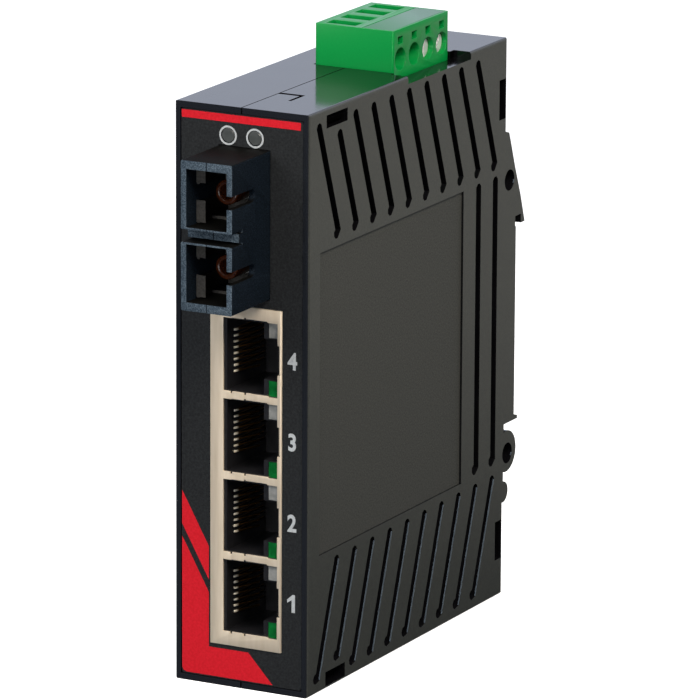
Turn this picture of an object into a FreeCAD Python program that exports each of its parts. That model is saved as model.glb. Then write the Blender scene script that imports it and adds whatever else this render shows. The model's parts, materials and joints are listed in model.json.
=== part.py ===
import FreeCAD, Part
import math
import os
from types import SimpleNamespace

import Sketcher
from FreeCAD import Placement, Rotation, Vector

# A DIN-rail ethernet switch: two moulded half shells round one upright board, a ganged four-port
# jack and a duplex fibre transceiver on the front, and a pluggable screw terminal on top.
# Everything is drawn in the case frame: x = 0 on the seam between the halves, y = 0 on the front
# face, z = 0 on the base. Each sub-part is then moved so that the origin is on the rail seat.

os.makedirs("parts", exist_ok=True)
doc = FreeCAD.newDocument("ethernet_switch")
sheet = doc.addObject("Spreadsheet::Sheet", "Sizes")

SIZES = {
    # case
    "case_width": 25.4, "case_height": 100.25, "case_depth": 72.6, "wall": 2.0,
    "slit_across": 4.7, "slit_narrow": 0.6, "slit_front": 8.5, "slit_back": 13.5, "slit_wide": 1.0,
    "dip_deep": 1.3, "dip_front": 1.35, "dip_back": 1.65,
    "edge_round": 0.5, "frame_border": 1.1, "label_recess": 0.4, "label_sheet": 0.25,
    "label_gap": 0.1, "label_corner": 0.6, "aperture_gap": 0.25,
    # rear profile: rail seat, hook above it and snap nose and ear below it
    "rail_seat": 76.6, "rail_centre": 49.7, "seat_low": 31.7, "pocket_top": 67.7,
    "pocket_floor": 76.3, "seat_lead": 0.3, "pocket_back": 78.5, "hook_tip": 80.0,
    "hook_low": 66.1, "hook_top": 83.5,
    "nose_back": 77.9, "nose_low": 30.8, "relief_low": 29.5, "relief_front": 72.7,
    "ear_back": 73.7, "ear_up": 25.7, "ear_radius": 3.75, "lug_hole_radius": 1.87,
    "hook_hole_back": 73.9, "hook_hole_up": 74.65, "bump_up": 18.5, "bump_radius": 1.9,
    "seat_inside": 74.6,
    # side wall
    "slot_width": 1.75, "slot_pitch": 6.43, "upper_front": 3.55, "upper_run": 6.7,
    "upper_hook": 0.5, "upper_top": 2.9, "upper_kink": 2.8, "upper_end": 2.2,
    "upper_shorter": 2.35, "lower_front": 10.3, "lower_run": 6.55, "lower_hook": 0.75,
    "lower_top": 2.25, "lower_kink": 0.85, "lower_end": 0.65, "lower_shorter": 2.3,
    "panel_front": 4.0, "panel_back": 56.3,
    "panel_low": 23.95, "panel_high": 76.15, "panel_recess": 0.4, "long_slot_width": 1.9,
    "long_slot_back": 62.0, "long_slot_top": 75.4, "long_slot_low": 25.3,
    # snap joints between the halves
    "catch_gap": 0.15, "catch_thick": 1.2, "catch_tip": 0.65, "catch_length": 11.9,
    "catch_nose": 0.7, "rear_skin": 0.25, "window_play": 0.4,
    "window_high": 1.15, "window_low": 0.5,
    # board
    "board_face": -6.0, "board_thick": 1.6, "board_gap": 0.6, "post_radius": 2.2,
    "post_inset": 6.0, "board_hole_radius": 1.6,
    # ganged jack
    "port_pitch": 13.97, "port_centre": 15.95, "port_high": 12.62, "port_left": -3.45,
    "port_main_right": 5.0, "port_right": 6.85, "shield_left": -5.9, "shield_right": 7.65,
    "shield_low": 7.25, "shield_high": 66.4, "shield_depth": 21.0, "shield_sheet": 0.3,
    "latch_window": 5.1, "jack_lip": 0.55, "cavity_left": -2.9, "cavity_depth": 14.0,
    "bezel_left": 4.13, "bezel_half": 3.5, "contact_pitch": 1.02, "contact_wide": 0.4,
    "port_led_deep": 3.0, "notch": 0.35,
    "notch_first": 1.3, "notch_second": 3.9, "notch_wide": 0.4, "port_step": 0.18, "jack_gap": 0.05,
    "comb_deep": 0.75, "finger_half": 1.25,
    # duplex transceiver
    "fibre_left": -4.35, "fibre_right": 5.25, "fibre_low": 68.05, "fibre_high": 93.45,
    "fibre_front": -12.8, "fibre_depth": 39.0, "fibre_pitch": 12.7, "fibre_wall": 1.0,
    "fibre_port_high": 9.85, "fibre_cavity": 14.3, "fibre_rib_set": 2.4, "key_high": 2.25,
    "key_deep": 7.8, "fibre_split": 1.1, "fibre_groove": 0.35, "lead_pitch": 2.54,
    "lead_side": 0.46, "lead_inset": 4.0, "solder_length": 1.2, "hole_gap": 0.06,
    "barrel_radius": 2.1, "ferrule_radius": 1.25, "barrel_set": 6.8, "socket_deep": 1.5,
    "ferrule_deep": 7.0, "latch_set": 3.6, "latch_shelf": 7.8, "latch_thick": 0.5,
    "latch_plate": 1.0,
    # status windows
    "status_up": 95.25, "status_gap": 0.05, "status_left": -2.64, "status_pitch": 5.08,
    "status_radius": 1.3, "status_face": 0.1, "status_length": 5.0,
    # pluggable terminal
    "pole_pitch": 5.08, "plug_left": -5.9, "plug_right": 9.1, "plug_front": 36.64,
    "plug_length": 20.32, "plug_top": 107.4, "plug_step": 97.4, "plug_low": 89.1,
    "tongue_left": -4.75, "tongue_right": 2.9, "tongue_inset": 0.4, "well_radius": 1.95,
    "well_up": 102.2, "well_floor": 3.2, "screw_head_radius": 1.8, "screw_head": 1.9,
    "screw_radius": 1.42, "screw_length": 5.8, "screw_travel": 3.0, "screw_slot": 0.6,
    "thread_clearance": 0.08, "entry_wide": 2.9, "cap_left": 2.85, "cap_right": 8.7,
    "cap_thick": 1.0, "pin_side": 1.0, "pin_clearance": 0.1, "header_wall": 0.9,
    "header_gap": 0.15, "header_floor": 2.0, "header_low": 86.8, "header_high": 97.2,
    "pin_drop": 1.6, "pin_point": 0.3, "cap_inset": 0.35, "cap_gap": 0.05,
}
for row, (name, number) in enumerate(SIZES.items(), start=1):
    sheet.set(f"A{row}", name)
    sheet.set(f"B{row}", str(number))
    sheet.setAlias(f"B{row}", name)
doc.recompute()


class Size:
    """A length in millimetres that keeps the spreadsheet formula it comes from."""

    def __init__(self, value, formula):
        self.value = value
        self.formula = formula

    def __add__(self, other):
        other = as_size(other)
        return Size(self.value + other.value, f"({self.formula} + {other.formula})")

    def __sub__(self, other):
        other = as_size(other)
        return Size(self.value - other.value, f"({self.formula} - {other.formula})")

    def __mul__(self, factor):
        return Size(self.value * factor, f"({self.formula} * {factor})")

    def __truediv__(self, factor):
        return Size(self.value / factor, f"({self.formula} / {factor})")

    def __neg__(self):
        return self * -1

    def __radd__(self, other):
        return as_size(other) + self

    def __rsub__(self, other):
        return as_size(other) - self


def as_size(length):
    return length if isinstance(length, Size) else Size(length, f"({length})")


s = SimpleNamespace(**{name: Size(number, f"Sizes.{name}") for name, number in SIZES.items()})
half_width = s.case_width / 2
side_inside = half_width - s.wall
rear_inside = s.case_depth - s.wall
top_inside = s.case_height - s.wall

PLANES = {"YZ": ("YZ_Plane", 1), "XZ": ("XZ_Plane", -1), "XY": ("XY_Plane", 1)}
sub_parts = []


def bind(thing, setting, length):
    thing.setExpression(setting, as_size(length).formula)


def keep(thing, label):
    """Name a finished sub-part and move it from the case frame to the rail seat."""
    thing.Label = label
    bind(thing, "Placement.Base.y", -s.rail_seat)
    bind(thing, "Placement.Base.z", -s.rail_centre)
    sub_parts.append(thing)
    return thing


# ---------------------------------------------------------------- sketches and features
def new_body(label):
    body = doc.addObject("PartDesign::Body", label)
    return keep(body, label)


def sketch_on(body, plane, at):
    """A sketch on one of the body's own planes, set off to the coordinate `at`."""
    role, sense = PLANES[plane]
    sketch = body.newObject("Sketcher::SketchObject", "Sketch")
    origin_plane = next(f for f in body.Origin.OriginFeatures if f.Role == role)
    sketch.AttachmentSupport = (origin_plane, [""])
    sketch.MapMode = "FlatFace"
    bind(sketch, "AttachmentOffset.Base.z", as_size(at) * sense)
    return sketch


def hold(sketch, kind, place, length):
    """Tie one coordinate of a point to the sketch's origin."""
    length = as_size(length)
    if abs(length.value) < 1e-9:
        axis = -2 if kind == "DistanceX" else -1
        sketch.addConstraint(Sketcher.Constraint("PointOnObject", *place, axis))
        return
    index = sketch.addConstraint(Sketcher.Constraint(kind, -1, 1, *place, length.value))
    bind(sketch, f"Constraints[{index}]", length)


def draw_outline(sketch, points):
    """A closed outline of straight lines through bound points."""
    spots = [Vector(as_size(a).value, as_size(b).value, 0) for a, b in points]
    first = sketch.GeometryCount
    count = len(points)
    for i in range(count):
        sketch.addGeometry(Part.LineSegment(spots[i], spots[(i + 1) % count]), False)
    for i in range(count):
        following = first + (i + 1) % count
        sketch.addConstraint(Sketcher.Constraint("Coincident", first + i, 2, following, 1))
    for i, (across, up) in enumerate(points):
        hold(sketch, "DistanceX", (first + i, 1), across)
        hold(sketch, "DistanceY", (first + i, 1), up)


def draw_rectangle(sketch, left, low, right, high):
    draw_outline(sketch, [(left, low), (right, low), (right, high), (left, high)])


def draw_circle(sketch, across, up, radius):
    across, up, radius = as_size(across), as_size(up), as_size(radius)
    circle = Part.Circle(Vector(across.value, up.value, 0), Vector(0, 0, 1), radius.value)
    index = sketch.addGeometry(circle, False)
    hold(sketch, "DistanceX", (index, 3), across)
    hold(sketch, "DistanceY", (index, 3), up)
    rule = sketch.addConstraint(Sketcher.Constraint("Radius", index, radius.value))
    bind(sketch, f"Constraints[{rule}]", radius)


def feature(body, kind, plane, start, stop, drawing):
    """Pad or pocket from `start` to `stop` along the plane's own axis."""
    sketch = sketch_on(body, plane, start)
    drawing(sketch)
    made = body.newObject(f"PartDesign::{kind}", kind)
    made.Profile = sketch
    made.Type = "Length"
    bind(made, "Length", as_size(stop) - start)
    along_normal = PLANES[plane][1] > 0
    made.Reversed = along_normal if kind == "Pocket" else not along_normal
    return made


def pad(body, plane, start, stop, drawing):
    return feature(body, "Pad", plane, start, stop, drawing)


def pocket(body, plane, start, stop, drawing):
    return feature(body, "Pocket", plane, start, stop, drawing)


def rectangle(left, low, right, high):
    return lambda sketch: draw_rectangle(sketch, left, low, right, high)


def circle(across, up, radius):
    return lambda sketch: draw_circle(sketch, across, up, radius)


def outline(points):
    return lambda sketch: draw_outline(sketch, points)


def bent_slot(path, width):
    """A slot of constant width that follows three points, each end rounded off in three flats."""
    spots = [Vector(as_size(a).value, as_size(b).value, 0) for a, b in path]
    legs = [(spots[i + 1] - spots[i]).normalize() for i in (0, 1)]
    sides = [Vector(-leg.y, leg.x, 0) for leg in legs]
    mitre = (sides[0] + sides[1]) / (1 + sides[0].dot(sides[1]))

    def corner(place, offset):
        across, up = path[place]
        return (across + width * (offset.x / 2), up + width * (offset.y / 2))

    def rounded(place, forward, side):
        reach = 1 / math.cos(math.radians(22.5))
        turns = [math.radians(22.5 + 45 * i) for i in range(4)]
        return [corner(place, (side * math.cos(turn) + forward * math.sin(turn)) * reach)
                for turn in turns]

    return outline([
        *rounded(2, legs[1], sides[1]), corner(1, -mitre),
        *rounded(0, -legs[0], -sides[0]), corner(1, mitre)])


def twelve_sided(across, up, radius):
    """A regular outline whose flats touch a circle, for holes and posts that stay out of sight."""
    reach = 1 / math.cos(math.radians(15))
    turns = [math.radians(turn) for turn in range(15, 360, 30)]
    return outline([
        (across + radius * (reach * math.cos(turn)), up + radius * (reach * math.sin(turn)))
        for turn in turns])


def several(*drawings):
    def draw(sketch):
        for drawing in drawings:
            drawing(sketch)
    return draw


def repeat(body, original, axis, pitch, count):
    """A row of copies of the last feature along one of the body's own axes."""
    row = body.newObject("PartDesign::LinearPattern", "Row")
    row.Originals = [original]
    origin_axis = next(f for f in body.Origin.OriginFeatures if f.Role == f"{axis}_Axis")
    row.Direction = (origin_axis, [""])
    bind(row, "Length", as_size(pitch) * (count - 1))
    row.Occurrences = count
    body.Tip = row
    return row


def round_edges(body, radius, wanted, kind="Fillet"):
    """Round, or chamfer, the edges of the body so far that `wanted` accepts."""
    doc.recompute()
    base = body.Tip
    names = [f"Edge{i}" for i, edge in enumerate(base.Shape.Edges, start=1) if wanted(edge)]
    if not names:
        raise SystemExit(f"{body.Label}: no edge to round")
    made = body.newObject(f"PartDesign::{kind}", kind)
    made.Base = (base, names)
    bind(made, "Radius" if kind == "Fillet" else "Size", radius)
    return made


def near(value, target):
    return abs(value - as_size(target).value) < 1e-3


def solid_box(name, low, high):
    """A block between two corners, its sides bound to the sheet."""
    block = doc.addObject("Part::Box", name)
    for letter, side, a, b in zip("xyz", ("Length", "Width", "Height"), low, high):
        bind(block, side, as_size(b) - a)
        bind(block, f"Placement.Base.{letter}", a)
    return block


def group(label, members):
    """Several separate solids that are one kind of piece, kept in one node."""
    bundle = doc.addObject("Part::Compound", label)
    bundle.Links = members
    return keep(bundle, label)


# ---------------------------------------------------------------- half shells
def rear_profile():
    """The side view of the case: a plain front, and the rail hook, seat and nose behind."""
    return [
        (0, 0), (s.case_depth, 0), (s.case_depth, s.relief_low), (s.relief_front, s.relief_low),
        (s.relief_front, s.nose_low), (s.nose_back, s.nose_low),
        (s.nose_back, s.seat_low - s.seat_lead), (s.rail_seat, s.seat_low),
        (s.rail_seat, s.hook_low - 0.4), (s.pocket_floor, s.hook_low - 0.1),
        (s.pocket_floor, s.pocket_top), (s.pocket_back, s.pocket_top),
        (s.pocket_back, s.hook_low), (s.hook_tip, s.hook_low),
        (s.hook_tip - 1.7, s.hook_low + 5.1), (s.hook_tip - 4.0, s.hook_low + 10.7),
        (s.hook_tip - 5.8, s.hook_low + 15.6), (s.hook_tip - 6.4, s.hook_top - 0.3),
        (s.case_depth, s.hook_top), (s.case_depth, s.case_height), (0, s.case_height),
    ]


def inner_profile():
    """The hollow of a half shell, one wall inside the case, level behind the rail seat."""
    return [
        (s.wall, s.wall), (rear_inside, s.wall), (rear_inside, s.seat_low + 2.3),
        (s.seat_inside, s.seat_low + 2.3), (s.seat_inside, s.hook_low - 1.0),
        (rear_inside, s.hook_low + 12), (rear_inside, top_inside), (s.wall, top_inside),
    ]


def cut_side_slots(body, low, high):
    """Two fans of bent slots above and below the middle panel, and two long slots behind it."""
    pitch = s.slot_pitch
    upper = (s.case_height - s.upper_top, s.panel_high + s.upper_kink, s.panel_high + s.upper_end)
    lower = (s.panel_low - s.lower_top, s.wall + s.lower_kink, s.wall + s.lower_end)
    fans = (
        # front of the first slot, run back to its kink, bend behind that, heights, and how much
        # shorter the second slot is beside its snap catch
        (s.upper_front, s.upper_run, -s.upper_hook, upper, s.upper_shorter, 1),
        (s.lower_front, -s.lower_run, -s.lower_hook, lower, s.lower_shorter, -1),
    )
    for front, run, hook, heights, shorter, sense in fans:
        first = [(front, heights[0]), (front + run, heights[1]), (front + run + hook, heights[2])]
        pocket(body, "YZ", low, high, bent_slot(first, s.slot_width))
        slope = run.value / (heights[0].value - heights[1].value)
        if sense > 0:
            second = [
                (pitch + front + shorter * slope, heights[0] - shorter),
                (pitch + front + run, heights[1]), (pitch + front + run + hook, heights[2]),
            ]
        else:
            second = [
                (pitch + front, heights[0]),
                (pitch + front + run + shorter * -slope, heights[1] + shorter),
                (pitch + front + run + hook + shorter * -slope, heights[2] + shorter),
            ]
        pocket(body, "YZ", low, high, bent_slot(second, s.slot_width))
        third = [(pitch * 2 + across, up) for across, up in first]
        cut = pocket(body, "YZ", low, high, bent_slot(third, s.slot_width))
        repeat(body, cut, "Y", pitch, 8)
    back = s.long_slot_back
    path = [(back, s.long_slot_top), (back, s.long_slot_low + 0.5), (back - 0.6, s.long_slot_low)]
    cut = pocket(body, "YZ", low, high, bent_slot(path, s.long_slot_width))
    repeat(body, cut, "Y", pitch, 2)


def status_hole(number, gap):
    return circle(s.status_left + s.status_pitch * number, s.status_up, s.status_radius + gap)


def half_shell(label, outer_x):
    """A tray with its open side on the seam; outer_x carries the side wall."""
    sense = 1 if outer_x.value > 0 else -1
    wall_x = outer_x - s.wall * sense
    low, high = (0, outer_x) if sense > 0 else (outer_x, 0)
    wall_low, wall_high = (wall_x, outer_x) if sense > 0 else (outer_x, wall_x)
    body = new_body(label)
    pad(body, "YZ", low, high, outline(rear_profile()))
    pad(body, "YZ", low, high, circle(s.ear_back, s.ear_up, s.ear_radius))
    pad(body, "YZ", low, high, circle(s.case_depth, s.bump_up, s.bump_radius))
    round_edges(body, s.edge_round, lambda edge: (
        all(near(v.X, outer_x) for v in edge.Vertexes) and len(edge.Vertexes) == 2
        and edge.Length > 12 and edge.CenterOfMass.y < s.case_depth.value + 0.01
    ))
    hollow_low, hollow_high = (0, wall_x) if sense > 0 else (wall_x, 0)
    pocket(body, "YZ", hollow_low, hollow_high, outline(inner_profile()))
    pocket(body, "YZ", low, high, circle(s.ear_back + 0.4, s.ear_up - 0.4, s.lug_hole_radius))
    pocket(body, "YZ", low, high, circle(s.hook_hole_back, s.hook_hole_up, s.lug_hole_radius))
    # front: a shallow bed for the label, then one opening for jack and transceiver, and a lamp hole
    bed_inner, bed_outer = 0, (half_width - s.frame_border) * sense
    bed_low, bed_high = (bed_inner, bed_outer) if sense > 0 else (bed_outer, bed_inner)
    pocket(body, "XZ", 0, s.label_recess, rectangle(
        bed_low, s.frame_border, bed_high, s.case_height - s.frame_border))
    gap = s.aperture_gap
    open_low, open_high = (0, s.shield_right + gap) if sense > 0 else (s.shield_left - gap, 0)
    pocket(body, "XZ", 0, s.wall, several(
        rectangle(open_low, s.shield_low - gap, open_high, s.fibre_high + gap),
        status_hole(1 if sense > 0 else 0, s.status_gap)))
    # top: a way through for the plug
    plug_low, plug_high = (0, s.plug_right + gap) if sense > 0 else (s.plug_left - gap, 0)
    plug_back = s.plug_front + s.plug_length
    pocket(body, "XY", top_inside, s.case_height, rectangle(
        plug_low, s.plug_front - gap, plug_high, plug_back + gap))
    # side: the flat middle panel
    panel_low, panel_high = (
        (outer_x - s.panel_recess, outer_x) if sense > 0 else (outer_x, outer_x + s.panel_recess))
    pocket(body, "YZ", panel_low, panel_high, rectangle(
        s.panel_front, s.panel_low, s.panel_back, s.panel_high))
    cut_side_slots(body, wall_low, wall_high)
    return body, wall_x


def post_places():
    """Where the case clamps the board, as y and z."""
    inset, behind_jack = s.post_inset, s.shield_depth + 10.5
    return [
        (behind_jack, s.wall + inset - 1), (rear_inside - inset, s.wall + inset),
        (rear_inside - inset, top_inside - inset), (behind_jack, top_inside - inset + 1),
    ]


def catch_places():
    """Where each of the four snap catches begins and ends along its wall."""
    return {
        "top": (6.2, 13.3), "base": (6.6, 13.3), "rear_high": (86.2, 93.0), "rear_low": (6.8, 13.5),
    }


def housing_right():
    body, wall_x = half_shell("housing_right", half_width)
    catches = catch_places()
    gap = s.catch_gap
    # windows that the catches of the other half snap into
    reach = s.catch_tip + gap * 2
    for (a, b), low_z, high_z in (
        (catches["top"], top_inside - reach - s.window_play, s.case_height - s.window_high),
        (catches["base"], s.window_low, s.wall + reach),
    ):
        pocket(body, "YZ", wall_x, half_width, rectangle(a - gap, low_z, b + gap, high_z))
    for a, b in (catches["rear_high"], catches["rear_low"]):
        pocket(body, "YZ", wall_x, half_width, rectangle(
            rear_inside - reach, a - gap, s.case_depth - s.rear_skin, b + gap))
    # the wall beside the screw wells is lowered so that a screwdriver comes in level
    pocket(body, "XY", s.case_height - s.dip_deep, s.case_height, rectangle(
        s.plug_right + s.aperture_gap, s.plug_front - s.dip_front, half_width,
        s.plug_front + s.plug_length + s.dip_back))
    # an L-shaped slit frees a tongue in the top wall above the label
    across, narrow, front, back = s.slit_across, s.slit_narrow, s.slit_front, s.slit_back
    pocket(body, "XY", top_inside, s.case_height, outline([
        (0, back - s.slit_wide), (across - narrow, back - s.slit_wide), (across - narrow, front),
        (across, front), (across, back), (0, back)]))
    # posts that press the board on to the other half
    for back, up in post_places():
        pad(body, "YZ", s.board_face, wall_x, twelve_sided(back, up, s.post_radius))
    return body


def housing_left():
    body, wall_x = half_shell("housing_left", -half_width)
    for back, up in post_places():
        pad(body, "YZ", wall_x, s.board_face - s.board_thick, twelve_sided(
            back, up, s.post_radius))
        pad(body, "YZ", s.board_face - s.board_thick, s.board_face - 0.2, twelve_sided(
            back, up, s.board_hole_radius - 0.1))
    catches = catch_places()
    for name, plane, face, sense in (
        ("top", "XZ", top_inside, 1), ("base", "XZ", s.wall, -1),
        ("rear_high", "XY", rear_inside, 1), ("rear_low", "XY", rear_inside, 1),
    ):
        # an arm along the inside of the wall, rooted in this half, with a sloped nose at its tip
        low, high = catches[name]
        near_face = face - s.catch_gap * sense
        far_face, tip_face = near_face - s.catch_thick * sense, near_face - s.catch_tip * sense
        nose, tip, root, neck = near_face + s.catch_nose * sense, s.catch_length, -2.0, 10.4
        pad(body, plane, low, high, outline([
            (root, far_face), (neck, far_face), (neck + 0.2, tip_face), (tip, tip_face),
            (tip, near_face), (tip - 1.0, nose), (tip - 1.2, near_face), (0, near_face),
            (0, face), (root, face)]))
    return body


def front_label():
    """A thin printed sheet bedded in the front, cut out round everything that comes through."""
    body = new_body("front_label")
    back = s.label_recess
    edge = half_width - s.frame_border - s.label_gap
    low, high = s.frame_border + s.label_gap, s.case_height - s.frame_border - s.label_gap
    pad(body, "XZ", back - s.label_sheet, back, rectangle(-edge, low, edge, high))
    round_edges(body, s.label_corner, lambda e: near(e.Length, s.label_sheet))
    gap = s.label_gap
    pocket(body, "XZ", 0, back, several(
        rectangle(s.shield_left - gap, s.shield_low - gap, s.shield_right + gap, s.shield_high + gap),
        rectangle(s.fibre_left - gap, s.fibre_low - gap, s.fibre_right + gap, s.fibre_high + gap),
        status_hole(0, s.status_gap), status_hole(1, s.status_gap)))
    return body


# ---------------------------------------------------------------- board and what sits on it
def pole_back(number):
    return s.plug_front + s.plug_length / 2 + s.pole_pitch * (number - 2.5)


lead_back = s.fibre_front + s.fibre_depth - s.lead_inset


def lead_up(number):
    return (s.fibre_low + s.fibre_high) / 2 + s.lead_pitch * (number - 4)


def main_board():
    body = new_body("main_board")
    gap = s.board_gap
    pad(body, "YZ", s.board_face - s.board_thick, s.board_face, rectangle(
        s.wall + gap, s.wall + gap + s.catch_thick, rear_inside - gap - s.catch_thick,
        top_inside - gap - s.catch_thick))
    round_edges(body, 1.0, lambda e: near(e.Length, s.board_thick))
    for back, up in post_places():
        pocket(body, "YZ", s.board_face - s.board_thick, s.board_face, twelve_sided(
            back, up, s.board_hole_radius))
    # rows of soldered holes for the power pins and the transceiver's leads
    for back, up, side, axis, pitch, count in (
        (pole_back(1), s.header_low - s.pin_drop + s.pin_side / 2, s.pin_side, "Y", s.pole_pitch, 4),
        (lead_back + s.lead_side / 2, lead_up(0), s.lead_side, "Z", s.lead_pitch, 9),
    ):
        reach = side / 2 + s.hole_gap
        hole = pocket(body, "YZ", s.board_face - s.board_thick, s.board_face, rectangle(
            back - reach, up - reach, back + reach, up + reach))
        repeat(body, hole, axis, pitch, count)
    return body


def chip_package(label, back, up, wide, high, tall, chamfer=0.3):
    """A moulded chip on the board, its top edge bevelled all round."""
    body = new_body(label)
    pad(body, "YZ", s.board_face, s.board_face + tall, rectangle(
        back - wide / 2, up - high / 2, back + wide / 2, up + high / 2))
    top = s.board_face + tall
    round_edges(body, chamfer, lambda e: all(near(v.X, top) for v in e.Vertexes), "Chamfer")
    return body


def upright_can(name, back, up, radius, tall):
    can = doc.addObject("Part::Prism", name)
    can.Polygon = 16
    bind(can, "Circumradius", radius)
    bind(can, "Height", tall)
    bind(can, "Placement.Base.x", s.board_face)
    bind(can, "Placement.Base.y", back)
    bind(can, "Placement.Base.z", up)
    can.Placement.Rotation = Rotation(Vector(0, 1, 0), 90)
    return can


def board_parts():
    """Line transformers behind the jack, the switch and power chips, and the supply parts."""
    jack_back = s.shield_depth + 7.5
    for number in (1, 2):
        centre = s.port_centre + s.port_pitch * (number * 2 - 1.5)
        chip_package(f"line_transformer_{number}", jack_back, centre, 9.6, 27.0, 5.6, 0.5)
    chip_package("switch_chip", 48.5, 50.0, 16.0, 16.0, 1.4)
    chip_package("power_chip", 49.5, 25.5, 9.0, 9.0, 1.0)
    chip_package("supply_inductor", 59.0, 78.0, 12.0, 12.0, 7.0, 1.2)
    chip_package("clock_crystal", 37.5, 63.5, 3.2, 7.0, 1.2)
    group("supply_capacitors", [
        upright_can("CapacitorHigh", 44.5, 76.5, 4.0, 12.5),
        upright_can("CapacitorLow", 62.0, 61.5, 4.0, 12.5)])


# ---------------------------------------------------------------- ganged jack
def port_up(number):
    return s.port_centre + s.port_pitch * (number - 1)


def jack_shield():
    """A folded nickel-silver can, open towards the board, pierced for four ports."""
    body = new_body("jack_shield")
    sheet_thick = s.shield_sheet
    pad(body, "XY", s.shield_low, s.shield_high, rectangle(
        s.shield_left, 0, s.shield_right, s.shield_depth))
    round_edges(body, 0.35, lambda e: (
        near(e.Length, s.shield_high - s.shield_low) and e.CenterOfMass.x > 0))
    pocket(body, "XY", s.shield_low + sheet_thick, s.shield_high - sheet_thick, rectangle(
        s.shield_left, sheet_thick, s.shield_right - sheet_thick, s.shield_depth - sheet_thick))
    centre, half = s.port_centre, s.port_high / 2
    window = s.latch_window / 2
    main, full, edge = s.port_main_right, s.port_right, s.shield_right - sheet_thick
    step = s.port_step
    low, high = centre - half, centre + half
    first, second, wide = s.port_left + s.notch_first, s.port_left + s.notch_second, s.notch_wide
    opening = pocket(body, "XZ", 0, sheet_thick, outline([
        (s.port_left, low), (first, low), (first, low - s.notch),
        (first + wide, low - s.notch), (first + wide, low),
        (second, low), (second, low - s.notch),
        (second + wide, low - s.notch), (second + wide, low),
        (main, low), (main + 0.15, low - step), (full, low - step),
        (full, centre - window), (edge, centre - window), (edge, centre + window),
        (full, centre + window), (full, high), (main, high), (main - 0.15, high + step),
        (second + wide, high + step), (second + wide, high + s.notch),
        (second, high + s.notch), (second, high + step * 0.5),
        (first + wide, high + step * 0.5), (first + wide / 2, high),
        (s.port_left, high)]))
    repeat(body, opening, "Z", s.port_pitch, 4)
    # beside each latch window a tongue of the side sheet is folded in, set back from the front
    tongue = pad(body, "XZ", sheet_thick * 2, sheet_thick * 3, rectangle(
        full, centre - window + s.jack_gap, edge, centre + window - s.jack_gap))
    repeat(body, tongue, "Z", s.port_pitch, 4)
    # grounding fingers pressed out of the side between the ports
    between = centre + s.port_pitch / 2
    finger = pad(body, "YZ", s.shield_right - sheet_thick, s.shield_right + 0.2, rectangle(
        0.5, between - s.finger_half, 4.5, between + s.finger_half))
    repeat(body, finger, "Z", s.port_pitch, 3)
    return body


def jack_body():
    """One black moulding with four plug cavities, their latch steps and lamp pockets."""
    body = new_body("jack_body")
    gap = s.jack_gap
    front = s.shield_sheet + gap
    left, right = s.shield_left + 0.1, s.shield_right - s.shield_sheet - gap
    low, high = s.shield_low + s.shield_sheet + gap, s.shield_high - s.shield_sheet - gap
    pad(body, "XZ", front, s.shield_depth - s.shield_sheet - gap, rectangle(left, low, right, high))
    centre, half = s.port_centre, s.port_high / 2 - 0.15
    channel, window = s.bezel_half, s.latch_window / 2
    cavity = pocket(body, "XZ", front, s.cavity_depth, outline([
        (s.cavity_left, centre - half), (s.bezel_left, centre - half),
        (s.bezel_left, centre - channel), (s.port_right, centre - channel),
        (s.port_right, centre - window), (right, centre - window),
        (right, centre + window), (s.port_right, centre + window),
        (s.port_right, centre + channel), (s.bezel_left, centre + channel),
        (s.bezel_left, centre + half), (s.cavity_left, centre + half)]))
    repeat(body, cavity, "Z", s.port_pitch, 4)
    lamps = pocket(body, "XZ", front, front + s.port_led_deep + 0.1, several(
        rectangle(s.port_main_right, centre + channel + 0.15, right, centre + half + 0.25),
        rectangle(s.port_main_right, centre - half - 0.25, right, centre - channel - 0.15)))
    repeat(body, lamps, "Z", s.port_pitch, 4)
    # a comb of grooves in the left wall holds the contact springs
    side = s.contact_wide + 0.1
    first = centre - s.contact_pitch * 3.5
    comb = pocket(body, "XZ", s.jack_lip + 2.0, s.cavity_depth, several(*[
        rectangle(s.cavity_left - s.comb_deep, first + s.contact_pitch * i - side / 2,
                  s.cavity_left, first + s.contact_pitch * i + side / 2) for i in range(8)]))
    repeat(body, comb, "Z", s.port_pitch, 4)
    return body


def contact_spring(name):
    """One gold-plated wire: along the wall to the front, round its nose and back into the port."""
    sketch = doc.addObject("Sketcher::SketchObject", name + "Path")
    wall, thick = s.cavity_left, s.contact_wide
    front, back = s.jack_lip + 2.3, s.cavity_depth - 0.05
    draw_outline(sketch, [
        (wall - 0.65, back), (wall - 0.65, front + 0.35), (wall - 0.35, front), (wall + 0.1, front),
        (wall + 1.95, front + 5.6), (wall + 1.6, front + 5.8), (wall - 0.05, front + thick),
        (wall - 0.25, front + 0.65), (wall - 0.25, back)])
    spring = doc.addObject("Part::Extrusion", name)
    spring.Base = sketch
    spring.DirMode = "Custom"
    spring.Dir = Vector(0, 0, 1)
    spring.Solid = True
    bind(spring, "LengthFwd", thick)
    return spring


def port_contacts():
    spring = contact_spring("ContactSpring")
    for number in range(1, 5):
        members = []
        for i in range(8):
            link = doc.addObject("Part::Compound", f"Contact{number}{i + 1}")
            link.Links = [spring]
            bind(link, "Placement.Base.z", port_up(number) + s.contact_pitch * (i - 3.5)
                 - s.contact_wide / 2)
            members.append(link)
        group(f"port_{number}_contacts", members)


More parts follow.
